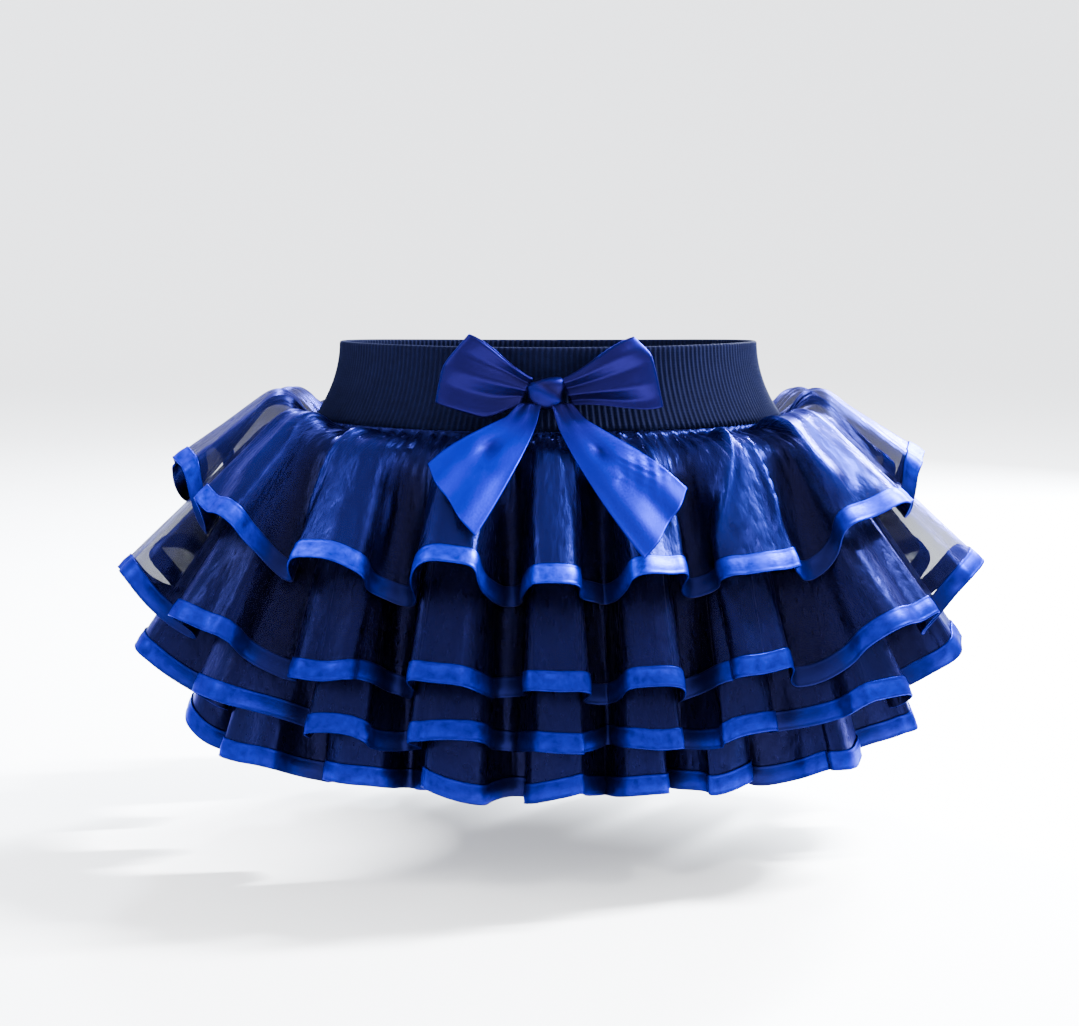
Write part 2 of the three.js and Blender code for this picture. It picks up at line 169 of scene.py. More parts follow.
# Ridges that stand on the top tiers: where each runs, how high it is and how wide, in mm.
Crease = namedtuple("Crease", "tier azimuth drift start end height width")
CREASES = (
    Crease(0, -43, -6, 2, 84, 4.4, 3.0),
    Crease(0, -31, -1, 40, 90, 2.8, 1.9),
    Crease(0, -21, -2, 4, 78, 2.2, 2.6),
    Crease(0, -9, 2, 6, 52, 1.8, 2.4),
    Crease(0, 4, 1, 10, 80, 2.1, 2.2),
    Crease(0, 20, 1, 6, 88, 2.4, 2.2),
    Crease(0, 40, -8, 2, 92, 6.4, 2.9),
    Crease(0, 46, -7, 2, 88, 3.8, 2.0),
    Crease(0, 54, 6, 1, 90, 6.8, 3.1),
    Crease(0, 72, 4, 2, 70, 2.7, 3.4),
    Crease(0, -58, -4, 6, 88, 2.8, 3.2),
    Crease(0, -71, -3, 2, 70, 2.4, 3.4),
    Crease(0, 98, 3, 4, 82, 2.7, 3.0),
    Crease(0, 121, 2, 3, 66, 2.4, 2.6),
    Crease(0, 143, -2, 6, 86, 2.8, 2.8),
    Crease(0, 163, 2, 4, 74, 2.2, 2.6),
    Crease(0, -97, -3, 4, 84, 2.5, 3.2),
    Crease(0, -119, -2, 5, 70, 2.8, 2.8),
    Crease(0, -141, 2, 4, 88, 2.2, 2.6),
    Crease(0, -160, -2, 5, 76, 2.5, 2.8),
    Crease(1, -44, -2, 70, 130, 1.6, 3.4),
    Crease(1, -20, 2, 74, 132, 1.4, 3.0),
    Crease(1, 12, -1, 72, 128, 1.5, 2.8),
    Crease(1, 33, 3, 66, 133, 1.8, 3.2),
    Crease(1, 66, 3, 58, 130, 1.9, 3.6),
    Crease(1, -68, -3, 60, 130, 1.7, 3.6),
    Crease(1, 134, 2, 70, 130, 1.6, 3.2),
    Crease(1, -131, -2, 72, 132, 1.7, 3.2),
)

# The hem ribbon's section, as shares of its width down the cloth and of its thickness out.
RIBBON_SECTION = (
    (0.0, 0.1), (0.004, 0.6), (0.05, 0.85), (0.12, 0.66), (0.2, 0.78),
    (0.4, 1.0), (0.6, 1.0), (0.8, 0.78), (0.88, 0.66), (0.95, 0.85),
    (0.996, 0.6), (1.0, 0.1), (0.95, 0.0), (0.5, 0.0), (0.05, 0.0),
)
CLOTH_CLEARANCE = 0.12
SELVEDGE = Values(shade=0.6, width=0.08)  # darker edges, their width as a share of the ribbon

# A loop is fullest at a share across its end. Its lower edge opens out from the knot within a share
# of its reach, and later for a higher power.
Loop = namedtuple("Loop", "name side length rise fullest spread delay")
LOOPS = (
    Loop("left", -1, 38.8, 17.4, 0.0, 0.45, 1),
    Loop("right", 1, 42.3, 14.2, 0.2, 1.0, 1.15),
)
# Places on the drape under the bow: azimuth in degrees, and distance from the knot in mm.
# Light is the share of painted light on each tail, lower on the right one.
Tail = namedtuple("Tail", "name inner outer corner tip light")
TAILS = (
    Tail("left", (-1.4, 0), (-6.2, 0), (-23, 35), (-11.5, 78), 0.95),
    Tail("right", (0.6, 0), (5, 0), (25, 51), (14.6, 92), 0.5),
)
# Soft hollows and swellings on the tails: place as shares across and along, height and size in mm.
Dimple = namedtuple("Dimple", "tail place height size")
DIMPLES = (
    Dimple("left", (0.58, 0.43), -2.4, 6.0),
    Dimple("left", (0.62, 0.72), 1.6, 11.0),
    Dimple("right", (0.5, 0.36), -1.5, 4.0),
    Dimple("right", (0.7, 0.45), 1.4, 8.0),
    Dimple("right", (0.3, 0.75), 1.2, 11.0),
)
# Painted shade in the tails' hollows.
HOLLOW_PAINTED_SHADE = 0.8  # the share of light that doesn't reach the middle of a hollow
CRINKLE = Dimple("right", (0.85, 0.62), 0.5, 11.0)
BOW = Values(
    ribbon_width=38,
    centre=(-1, -2),  # x and z
    stand_off=6.9,
    knot=(17, 12, 15.5),
    knot_power=3.2,
    knot_slant=0.16,  # how much its right side is drawn up
    loop_slant=9,
    loop_tuck=2.5,  # how far inside the knot it starts
    loop_ease=0.3,
    loop_hidden=5,  # the length of its ribbon, each way, that the knot hides
    loop_pleats=2.1,
    # the loops' painted light, far less than the tails get
    loop_light=0.045,
    loop_pinch=13,
    loop_fullness=4.2,
    loop_mouth=1.1,
    loop_drop=1.6,
    loop_width=37,  # as seen, at its end
    loop_opening=1.05,  # of its upper edge, as a share of its reach
    loop_bulge=5.2,  # how much further the fullest place of its end reaches
    crease_reach=0.34,  # how much of its depth a pleat keeps at the loop's end
    tail_start=(5, -6),  # out and z, inside the knot
    tail_root=4.6,  # added to its distances, in full past its first eighth
    tail_hidden=4,  # the length of a tail that the knot hides
    tail_touch=24,
    tail_lift=2,
    tail_softness=11,  # how far its bends are spread
    tail_wave=3,
    tail_bow=3,
    drape_reach=1.1,
    drape_length=140,
)
# The knot's painted light, a little more on the crests of its folds.
KNOT_FOLDS = Values(height=0.055, light=0.06, crest_light=0.05, taper=0.16)
LOOP_MESH = (90, 40)  # points along and across
TAIL_MESH = (90, 48)

# ---- the stage, in metres and watts ----

Lamp = namedtuple("Lamp", "name place size power colour")
LAMPS = (
    Lamp("key", (0.43, -0.75, 1.05), (0.1, 0.1), 7, (1, 1, 1)),
    Lamp("fill", (0.45, -1.1, 1.3), (0.3, 0.3), 5, (1, 1, 1)),
    Lamp("right_high", (0.95, 0.15, 1.0), (0.08, 0.5), 230, (0.93, 0.96, 1)),
    Lamp("left_strip", (-1.2, -0.2, 0.8), (0.1, 0.5), 12, (1, 1, 1)),
    Lamp("back_right", (0.75, 1.05, 0.5), (0.15, 0.6), 260, (0.85, 0.92, 1)),
    Lamp("back_left", (-0.3, 1.15, 0.8), (0.15, 0.15), 40, (0.8, 0.88, 1)),
)
LAMP_TARGET = (0, 0, -0.09)
AMBIENT = {"Color": (0.95, 0.97, 1, 1), "Strength": 3.0}
STUDIO = Values(radius=3.0, rise=1.6, steps=10)
IMAGE_WIDTH = 1079
SHARPNESS = 2208.7  # pixels for one unit of width at one unit of distance
CAMERA_HEIGHT = 0.095
CAMERA_TARGET = (-0.0045, 0, -0.0723)


# ---- settings that a user would change ----


class WaistbandSettings(bpy.types.PropertyGroup):
    """Sizes of the rib knit."""

    ribs: IntProperty(name="Ribs", description="Knit ribs round the waist", default=236, min=60, max=600)
    rib_height: FloatProperty(
        name="Rib Height", description="How far a rib stands out", default=0.00025, unit="LENGTH"
    )
    colour: FloatVectorProperty(
        name="Knit", description="Colour of the rib knit",
        default=(0.0019, 0.0025, 0.0122), size=3, subtype="COLOR",
    )


class RuffleSettings(bpy.types.PropertyGroup):
    """Fineness and colour of the organza tiers."""

    columns_per_fold: IntProperty(
        name="Columns", description="Mesh columns across one fold", default=44, min=12
    )
    rows: IntProperty(name="Rows", description="Mesh rows from seam to hem", default=52, min=12)
    gather: FloatProperty(
        name="Gathers", description="How far the gathers under the seam stand out",
        default=0.0013, unit="LENGTH",
    )
    flutter: FloatProperty(
        name="Flutter", description="How far the hem's small waves stand out",
        default=0.0018, unit="LENGTH",
    )
    hem_drop: FloatProperty(
        name="Hem Drop", description="How far the hem hangs above and below its level",
        default=0.004, unit="LENGTH",
    )
    colour: FloatVectorProperty(
        name="Organza", description="Colour of the organza",
        default=(0.0046, 0.0055, 0.068), size=3, subtype="COLOR",
    )
    cover: FloatProperty(
        name="Cover", description="How much the outer tiers' organza hides", default=0.82, subtype="FACTOR"
    )
    inner_cover: FloatProperty(
        name="Inner Cover", description="How much the inner tiers hide, gathered twice as full",
        default=1.0, subtype="FACTOR",
    )


class RibbonSettings(bpy.types.PropertyGroup):
    """The ribbon that binds each hem."""

    width: FloatProperty(name="Width", description="Width of the hem ribbon", default=0.010, unit="LENGTH")
    thickness: FloatProperty(
        name="Thickness", description="Of the ribbon with its stitching", default=0.0009, unit="LENGTH"
    )
    colour: FloatVectorProperty(
        name="Ribbon", description="Colour of the hem ribbon",
        default=(0.0011, 0.0042, 0.33), size=3, subtype="COLOR",
    )


class BowSettings(bpy.types.PropertyGroup):
    """The satin bow."""

    thickness: FloatProperty(
        name="Thickness", description="Of the bow's ribbon", default=0.0004, unit="LENGTH"
    )
    pleat: FloatProperty(
        name="Pleats", description="Depth of the pleats at the knot", default=0.0018, unit="LENGTH"
    )
    colour: FloatVectorProperty(
        name="Satin", description="Colour of the bow",
        default=(0.001, 0.0005, 0.25), size=3, subtype="COLOR",
    )


class StageSettings(bpy.types.PropertyGroup):
    """The studio round the skirt."""

    floor_drop: FloatProperty(
        name="Floor Drop", description="Floor under the lowest hem", default=0.045, unit="LENGTH"
    )
    colour: FloatVectorProperty(
        name="Floor", description="Colour of the floor", default=(0.9, 0.9, 0.91), size=3, subtype="COLOR"
    )
    distance: FloatProperty(
        name="Camera Distance", description="Camera in front of the waist's centre",
        default=1.15, unit="LENGTH",
    )


# ---- helpers ----


def mix(a, b, t):
    return a + (b - a) * t


def smooth(value):
    t = np.clip(value, 0, 1)
    return t * t * (3 - 2 * t)


def soft_max(a, b, softness):
    return (a + b + np.hypot(a - b, softness)) / 2


def oval_point(half, azimuth):
    """Points of an oval, x and y, at azimuths in degrees from the front."""
    angle = np.radians(azimuth)
    return np.stack([half[0] * np.sin(angle), -half[1] * np.cos(angle)], axis=-1)


def unit(vectors):
    return vectors / np.maximum(np.linalg.norm(vectors, axis=-1, keepdims=True), 1e-9)


def oval_normal(half, azimuth):
    angle = np.radians(azimuth)
    return unit(np.stack([half[1] * np.sin(angle), -half[0] * np.cos(angle)], axis=-1))


def side_share(azimuth):
    return np.abs(np.sin(np.radians(azimuth))) ** SIDE_POWER


def grid_normals(points, closed):
    """Outward unit normals of a grid of points, columns first."""
    if closed:
        along = np.roll(points, -1, axis=0) - np.roll(points, 1, axis=0)
    else:
        along = np.gradient(points, axis=0)
    return unit(np.cross(np.gradient(points, axis=1), along))


def grid_faces(columns, rows, closed, ring=False):
    """Quads of a grid; closed joins its last column to the first, ring its last row to the first."""
    i = np.arange(columns if closed else columns - 1)
    j = np.arange(rows if ring else rows - 1)
    i, j = np.meshgrid(i, j, indexing="ij")
    steps = ((0, 0), (0, 1), (1, 1), (1, 0))
    corners = np.stack([np.stack([i + across, j + down], -1) for across, down in steps], axis=-2)
    wrapped = corners % (columns, rows)
    quads = wrapped[..., 0] * rows + wrapped[..., 1]
    return quads.reshape(-1, 4), corners.reshape(-1, 4, 2)


def sheet_object(name, points, uv, closed, ring=False, light=None):
    """A smooth mesh object from a grid of points in mm, with a UV map in metres of flat cloth.

    Light is the painted light at each point, with painted shade in the valleys of its folds.
    """
    columns, rows = points.shape[:2]
    quads, corners = grid_faces(columns, rows, closed, ring)
    mesh = bpy.data.meshes.new(name)
    mesh.from_pydata((points.reshape(-1, 3) * MM).tolist(), [], quads.tolist())
    layer = mesh.uv_layers.new(name="UVMap")
    across = uv[0][np.minimum(corners[..., 0], len(uv[0]) - 1)]
    down = uv[1][np.minimum(corners[..., 1], len(uv[1]) - 1)]
    layer.data.foreach_set("uv", (np.stack([across, down], axis=-1) * MM).ravel())
    store_painted_light(mesh, 1.0 if light is None else np.broadcast_to(light, points.shape[:2]).ravel())
    mesh.update()
    piece = bpy.data.objects.new(name, mesh)
    bpy.context.scene.collection.objects.link(piece)
    select_only(piece)
    bpy.ops.object.shade_smooth()
    return piece


def store_painted_light(mesh, light):
    """Keeps the painted light of each vertex, as an attribute that the cloth's colours read."""
    reached = mesh.attributes.new(PAINTED_LIGHT_ATTRIBUTE, "FLOAT", "POINT")
    values = np.broadcast_to(light, len(mesh.vertices)).astype(np.float32)
    reached.data.foreach_set("value", np.ascontiguousarray(values))


def select_only(piece):
    bpy.ops.object.select_all(action="DESELECT")
    piece.select_set(True)
    bpy.context.view_layer.objects.active = piece


def apply_modifier(piece, kind, **values):
    """Adds a modifier of a kind, sets its values and applies it."""
    select_only(piece)
    modifier = piece.modifiers.new(kind.title(), kind)
    for key, value in values.items():
        setattr(modifier, key, value)
    bpy.ops.object.modifier_apply(modifier=modifier.name)


def finish_piece(piece, material, nodes):
    """Gives a piece its material and its place in the frame."""
    piece.data.materials.append(material)
    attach(piece, "root")
    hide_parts(*nodes)


# ---- materials ----


def new_material(name):
    material = bpy.data.materials.new(name)
    material.use_nodes = True
    nodes = material.node_tree.nodes
    return material, nodes, material.node_tree.links, nodes["Principled BSDF"]


def set_inputs(node, **values):
    for key, value in values.items():
        node.inputs[key.replace("_", " ")].default_value = value


def cloth_coordinates(nodes, links, scale):
    """The flat cloth's own coordinates, scaled: across in x, along the length in y."""
    uv = nodes.new("ShaderNodeUVMap")
    uv.uv_map = "UVMap"
    mapping = nodes.new("ShaderNodeMapping")
    mapping.inputs["Scale"].default_value = (scale[0], scale[1], 1)
    links.new(uv.outputs["UV"], mapping.inputs["Vector"])
    return mapping.outputs["Vector"]


def noise(nodes, links, scale, detail=3.0, roughness=0.55):
    texture = nodes.new("ShaderNodeTexNoise")
    set_inputs(texture, Scale=1, Detail=detail, Roughness=roughness)
    links.new(cloth_coordinates(nodes, links, scale), texture.inputs["Vector"])
    return texture.outputs["Fac"]


def ramp(nodes, links, value, low, high, start=0.3, end=0.7):
    """Colours or greys from low to high over a stretch of the value."""
    node = nodes.new("ShaderNodeValToRGB")
    for stop, place, colour in zip(node.color_ramp.elements, (start, end), (low, high)):
        stop.position = place
        stop.color = (*colour, 1)
    links.new(value, node.inputs["Fac"])
    return node.outputs["Color"]


def bump(nodes, links, height, distance, strength=1.0, under=None):
    node = nodes.new("ShaderNodeBump")
    set_inputs(node, Strength=strength, Distance=distance)
    links.new(height, node.inputs["Height"])
    if under is not None:
        links.new(under, node.inputs["Normal"])
    return node.outputs["Normal"]


def tinted(colour, factor):
    return tuple(min(1.0, channel * factor) for channel in colour)


def cloth_colour(nodes, links, shader, shade, colours):
    """Colours over the cloth, down to a painted shade colour where less light is painted in its folds."""
    light = nodes.new("ShaderNodeAttribute")
    light.attribute_name = PAINTED_LIGHT_ATTRIBUTE
    lit = nodes.new("ShaderNodeMix")
    lit.data_type = "RGBA"
    lit.inputs[6].default_value = (*shade, 1)
    links.new(light.outputs["Fac"], lit.inputs["Factor"])
    links.new(colours, lit.inputs[7])
    links.new(lit.outputs[2], shader.inputs["Base Color"])


def organza_material(name, colour, cover):
    """Sheer, crisp and glossy, with fine streaks along the length."""
    material, nodes, links, shader = new_material(name)
    shade = noise(nodes, links, (60, 14), 2)
    colours = ramp(nodes, links, shade, tinted(colour, 0.8), tinted(colour, 1.3))
    cloth_colour(nodes, links, shader, ORGANZA_PAINTED_SHADE, colours)
    streaks = noise(nodes, links, (1400, 600), 1, 0.6)
    crinkle = noise(nodes, links, (300, 120), 1, 0.5)
    fine = bump(nodes, links, streaks, 0.0004, 0.2)
    links.new(bump(nodes, links, crinkle, 0.0012, 0.35, fine), shader.inputs["Normal"])
    gloss = ramp(nodes, links, crinkle, (0.24,) * 3, (0.4,) * 3)
    links.new(gloss, shader.inputs["Roughness"])
    tint = (0.08, 0.2, 0.9, 1)
    set_inputs(shader, Alpha=cover, Metallic=0.8, Specular_IOR_Level=0.2, Specular_Tint=tint)
    return material


def satin_material(satin, colour):
    """Glossy satin with the faint cross lines of its weave and soft unevenness."""
    material, nodes, links, shader = new_material(satin.name)
    mottling = noise(nodes, links, satin.mottle_scale, 3)
    dull, bright = tinted(colour, 1 - satin.mottle), tinted(colour, 1 + 1.4 * satin.mottle)
    cloth_colour(nodes, links, shader, satin.shade, ramp(nodes, links, mottling, dull, bright))
    weave = noise(nodes, links, satin.weave, 2, 0.5)
    puckers = noise(nodes, links, (160, 60), 3, 0.5)
    fine = bump(nodes, links, weave, 0.0002, 0.25)
    links.new(bump(nodes, links, puckers, 0.001, 0.18, fine), shader.inputs["Normal"])
    links.new(ramp(nodes, links, weave, (0.32,) * 3, (0.46,) * 3), shader.inputs["Roughness"])
    tint = (0.06, 0.2, 1, 1)
    set_inputs(shader, Metallic=0.88, Specular_IOR_Level=0.1, Anisotropic=0.4, Specular_Tint=tint)
    return material


def knit_material(colour, ribs):
    """Matte rib knit: painted shade in the valleys between ribs, with small stitches up each rib."""
    material, nodes, links, shader = new_material("knit_ribs")
    place = cloth_coordinates(nodes, links, (1, 1))
    split = nodes.new("ShaderNodeSeparateXYZ")
    links.new(place, split.inputs["Vector"])
    turns = nodes.new("ShaderNodeMath")
    turns.operation = "MULTIPLY"
    turns.inputs[1].default_value = 2 * math.pi * ribs / (BAND.cloth_round * MM)
    links.new(split.outputs["X"], turns.inputs[0])
    wave = nodes.new("ShaderNodeMath")
    wave.operation = "COSINE"
    links.new(turns.outputs[0], wave.inputs[0])
    height = nodes.new("ShaderNodeMapRange")
    set_inputs(height, From_Min=-1)
    links.new(wave.outputs[0], height.inputs["Value"])
    # Painted shade in the valleys between ribs and painted light on their crests.
    valley, crest = tinted(colour, 0.8), tinted(colour, 1.25)
    rib = ramp(nodes, links, height.outputs["Result"], valley, crest, 0.2, 0.95)
    shade = nodes.new("ShaderNodeMix")
    shade.data_type = "RGBA"
    shade.blend_type = "MULTIPLY"
    set_inputs(shade, Factor=1)
    links.new(rib, shade.inputs[6])
    wear = noise(nodes, links, (120, 160), 4)
    links.new(ramp(nodes, links, wear, (0.75,) * 3, (1,) * 3), shade.inputs[7])
    links.new(shade.outputs[2], shader.inputs["Base Color"])
    stitches = nodes.new("ShaderNodeTexWave")
    stitches.wave_type = "BANDS"
    stitches.bands_direction = "Y"
    set_inputs(stitches, Scale=1, Distortion=1.5)
    links.new(cloth_coordinates(nodes, links, (300, 260)), stitches.inputs["Vector"])
    fuzz = noise(nodes, links, (2200, 2200), 3, 0.7)
    rows = bump(nodes, links, stitches.outputs["Fac"], 0.0003, 0.12)
    links.new(bump(nodes, links, fuzz, 0.0003, 0.4, rows), shader.inputs["Normal"])
    set_inputs(shader, Roughness=0.9, Specular_IOR_Level=0.02)
    set_inputs(shader, Sheen_Weight=0.02, Sheen_Roughness=0.5, Sheen_Tint=(0.2, 0.3, 1, 1))
    return material


# ---- the band's face and the folds ----


def band_face(azimuth, depth):
    """The waistband's outer face; depth runs from 0 at the neck to the band's height at the seam."""
    share = depth / BAND.height
    flare = np.sign(share) * np.abs(share) ** BAND.flare_power
    half = [mix(BAND.neck[k], BAND.seam[k], flare) for k in (0, 1)]
    back = (1 - np.cos(np.radians(azimuth))) / 2
    dip = BAND.back_dip * back * back * (1 - share)
    z = BAND.height / 2 - dip - BAND.height * share
    angle = np.radians(azimuth)
    return np.stack(np.broadcast_arrays(half[0] * np.sin(angle), -half[1] * np.cos(angle), z), axis=-1)


def fold_spans(tier):
    """Where each fold of a tier starts, and how wide it is, in degrees."""
    starts = np.array([fold[tier] for fold in FOLDS], dtype=float)
    return starts, np.diff(np.append(starts, starts[0] + 360))


def locate(tier, azimuth):
    """Where azimuths fall among a tier's folds: which fold, its width, and the share of that width."""
    starts, widths = fold_spans(tier)
    wrapped = starts[0] + np.mod(azimuth - starts[0], 360)
    index = np.searchsorted(starts, wrapped, side="right") - 1
    return index, widths[index], (wrapped - starts[index]) / widths[index]


def crest_share(share):
    return 1 - ((1 - np.cos(2 * np.pi * share)) / 2) ** TROUGH_NARROWING


def final_lean(tier, azimuth):
    row = TIERS[tier]
    index, _, share = locate(tier, azimuth)
    side = side_share(azimuth)
    reach = np.array([fold.reach for fold in FOLDS])
    dip = np.array([fold.dip for fold in FOLDS])
    out = mix(reach[index], reach[(index + 1) % len(FOLDS)], smooth(share))
    crest = mix(row.crest_front, row.crest_side, side) * out
    trough = mix(row.trough_front, row.trough_side, side) * dip[index]
    own = mix(trough, crest, crest_share(share))
    if tier == len(TIERS) - 1:
        return own
    return soft_max(own, final_lean(tier + 1, azimuth) + LAYER_LEAN, LAYER_SOFTNESS)


def puff_lean(tier, azimuth):
    row = TIERS[tier]
    _, _, share = locate(COMMON_TIER, azimuth)
    slack = 1 - PUFF_SLACK * (1 - crest_share(share))
    return mix(row.puff_front, row.puff_side, side_share(azimuth)) * slack


def seam_lean(azimuth):
    sideways = np.sin(np.radians(azimuth)) ** 2
    spread = mix(BAND.seam[1] - BAND.neck[1], BAND.seam[0] - BAND.neck[0], sideways)
    return np.degrees(np.arctan(BAND.flare_power * spread / BAND.height))


def lean_at(tuck, puff, final, distance):
    swollen = mix(tuck, puff, smooth(distance / TUCK_LENGTH))
    return mix(swollen, final, smooth((distance - PUFF_END) / EASE_LENGTH))


def fall(tuck, puff, final, distances):
    """How far out and down cloth comes, for each column and each distance along it."""
    count = int(math.ceil(distances[-1] / FALL_STEP)) + 1
    middles = (np.arange(count) + 0.5) * FALL_STEP
    lean = np.radians(lean_at(tuck[:, None], puff[:, None], final[:, None], middles[None, :]))
    marks = np.arange(count + 1) * FALL_STEP
    start = np.zeros((len(tuck), 1))
    out = np.concatenate([start, np.cumsum(np.sin(lean), axis=1) * FALL_STEP], axis=1)
    down = np.concatenate([start, np.cumsum(np.cos(lean), axis=1) * FALL_STEP], axis=1)
    index = np.clip(np.searchsorted(marks, distances, side="right") - 1, 0, count - 1)
    share = (distances - marks[index]) / FALL_STEP
    return mix(out[:, index], out[:, index + 1], share), mix(down[:, index], down[:, index + 1], share)


def tube_turn(azimuth, distances):
    _, width, share = locate(COMMON_TIER, azimuth)
    phase = 2 * np.pi * share
    shift = TUBE_WIDENING * np.sin(phase) + TUBE_STEEPENING * np.sin(2 * phase)
    return (width * shift / (2 * np.pi))[:, None] * smooth(distances / TUBE_LENGTH)[None, :]


def tier_grid(tier, azimuth, distances):
    """The middle of a tier's cloth, as the solids have it: columns by azimuth, rows by distance."""
    tuck = seam_lean(azimuth)
    rim = np.radians(tuck)[:, None]
    inward = WALL / 2 + SEAM_GAP + tier * LAYER_PITCH
    out, down = fall(tuck, puff_lean(tier, azimuth), final_lean(tier, azimuth), distances)
    across = out + SEAM_GAP * np.sin(rim) - inward * np.cos(rim)
    below = down + SEAM_GAP * np.cos(rim) + inward * np.sin(rim)
    turned = azimuth[:, None] + tube_turn(azimuth, distances)
    plan = oval_point(BAND.seam, turned) + oval_normal(BAND.seam, turned) * across[..., None]
    return np.concatenate([plan, (SEAM_Z - below)[..., None]], axis=-1)


def uneven(azimuth, waves, tier=0):
    """A smooth curve round the waist, between about -1 and 1, from a tier's own seed."""
    rng = np.random.default_rng(waves.seed + tier)
    count = len(waves.harmonics)
    phases = rng.uniform(0, 2 * np.pi, count)
    weights = rng.uniform(0.6, 1.0, count)
    angle = np.radians(azimuth)
    total = sum(w * np.cos(h * angle + p) for h, w, p in zip(waves.harmonics, weights, phases))
    return total / weights.sum() * WAVE_PEAK


def crease_profile(crease, azimuth, distances, spread):
    """A crease's height at each place, from 1 on its ridge; spread widens it."""
    run = (distances - crease.start) / (crease.end - crease.start)
    window = smooth(run * 4) * smooth((1 - run) * 3)
    line = crease.azimuth + crease.drift * np.clip(run, 0, 1)
    apart = np.radians(np.mod(azimuth[:, None] - line[None, :] + 180, 360) - 180) * CREASE_RADIUS
    return np.exp(-np.abs(apart / (crease.width * spread)) ** CREASE_SHARPNESS) * window[None, :]


def relief(tier, azimuth, distances, settings):
    """How far fine form stands out from a tier's cloth, in mm: gathers, hem flutter and creases."""
    length = TIERS[tier].length
    lower = (distances - LOWER_GATHERS.place) / LOWER_GATHERS.spread
    top = np.exp(-distances / GATHER_FADE) * smooth(distances / GATHER_START)
    top = top + LOWER_GATHERS.height * np.exp(-(lower**2))
    gathers = uneven(azimuth, GATHERS) + 0.5 * uneven(azimuth, SMALL_GATHERS)
    out = settings.gather / MM * np.outer(gathers, top)
    hem = smooth((distances / length - FLUTTER_START) / (1 - FLUTTER_START))
    out += settings.flutter / MM * np.outer(uneven(azimuth, FLUTTER, tier), hem)
    long_waves = uneven(azimuth, LONG_WAVES, tier)
    out += LONG_WAVE_HEIGHT * np.outer(long_waves, smooth(distances / LONG_WAVE_START))
    for crease in CREASES:
        if crease.tier == tier:
            out += crease.height * crease_profile(crease, azimuth, distances, 1.0)
    return out


def tier_columns(tier, per_fold):
    starts, widths = fold_spans(tier)
    shares = np.arange(per_fold) / per_fold
    return (starts[:, None] + widths[:, None] * shares[None, :]).ravel()


def dressed_tier(tier, azimuth, distances, settings):
    """A tier's cloth with its relief, and a hem that hangs a little higher and lower round the skirt."""
    points = tier_grid(tier, azimuth, distances)
    down = unit(np.gradient(points, axis=1))
    lower_half = smooth(2 * distances / TIERS[tier].length - 1)
    drop = settings.hem_drop / MM * np.outer(uneven(azimuth, HEM_WAVES, tier), lower_half)
    raised = relief(tier, azimuth, distances, settings)
    return points + grid_normals(points, True) * raised[..., None] + down * drop[..., None]


def painted_fold_light(tier, azimuth, distances, tier_painted_light, narrowing=CREST_NARROWING):
    """Painted light on a tier: most on its crests, painted shade in its valleys and under what overhangs."""
    _, _, share = locate(tier, azimuth)
    crest = crest_share(share)
    at_seam = mix(SEAM_PAINTED_SHADE.valley, 1.0, crest)
    open_fold = crest**narrowing
    depth = smooth(distances / SEAM_PAINTED_SHADE.reach)
    along = mix(at_seam[:, None], open_fold[:, None], depth[None, :])
    tucked = 1 - SEAM_PAINTED_SHADE.dark * np.exp(-distances / SEAM_PAINTED_SHADE.fade)
    if tier > 0:
        below = distances - TIERS[tier - 1].length * OVERHANG.reach
        tucked = tucked * mix(OVERHANG.light, 1.0, smooth(below / OVERHANG.fade))
    light = tier_painted_light[tier] * along * tucked[None, :]
    # A painted highlight along each crease.
    for crease in CREASES:
        if crease.tier == tier:
            full = min(1.0, crease.height / FULL_CREASE)
            shine = CREASE_PAINTED_LIGHT * full * tier_painted_light[tier] / tier_painted_light[0]
            light = light + shine * crease_profile(crease, azimuth, distances, CREASE_LINE)
    return light


def hem_length(points):
    """Length round a closed row of points, in mm."""
    return float(np.linalg.norm(np.roll(points, -1, axis=0) - points, axis=-1).sum())


# ---- pieces ----


class SKIRT_OT_waistband(bpy.types.Operator):
    """Knit the ribbed waistband, a tube folded over at its neck"""

    bl_idname = "skirt.waistband"
    bl_label = "Waistband"

    def execute(self, context):
        settings = context.scene.skirt_waistband
        per_rib = 6
        columns = settings.ribs * per_rib
        azimuth = np.arange(columns) * 360 / columns
        phase = 2 * np.pi * np.arange(columns) / per_rib
        ribs = settings.rib_height / MM * (np.cos(phase) + 0.15 * np.cos(2 * phase))
        height, wall, fold = BAND.height, BAND.wall, BAND.neck_fold
        turn = np.linspace(0, np.pi, 7)[1:-1]
        # Each row is a place on the band's face and how far inside it the cloth lies there.
        rows = [(depth, 0.0) for depth in np.linspace(height, fold, 16)]
        rows += [(fold - fold * math.sin(t), wall * (1 - math.cos(t)) / 2) for t in turn]
        rows += [(depth, wall) for depth in np.linspace(fold, height, 12)]
        points = []
        for depth, inside in rows:
            face_points = band_face(azimuth, depth)
            ahead = band_face(azimuth, depth + 0.1) - band_face(azimuth, depth - 0.1)
            around = band_face(azimuth + 0.1, depth) - band_face(azimuth - 0.1, depth)
            normal = unit(np.cross(ahead, around))
            outward = 1 - 2 * inside / wall
            edge = 1 + BAND.seam_swell * math.exp((depth - height) / BAND.swell_height)
            points.append(face_points + normal * (ribs * edge * outward - inside)[:, None])
        grid = np.stack(points, axis=1)[:, ::-1]
        across = np.linspace(0, BAND.cloth_round, columns + 1)
        down = np.linspace(0, 2 * height, grid.shape[1] + 1)
        piece = sheet_object("knit_waistband", grid, (across, down), True, ring=True)
        finish_piece(piece, knit_material(settings.colour, settings.ribs), ["waistband"])
        return {"FINISHED"}


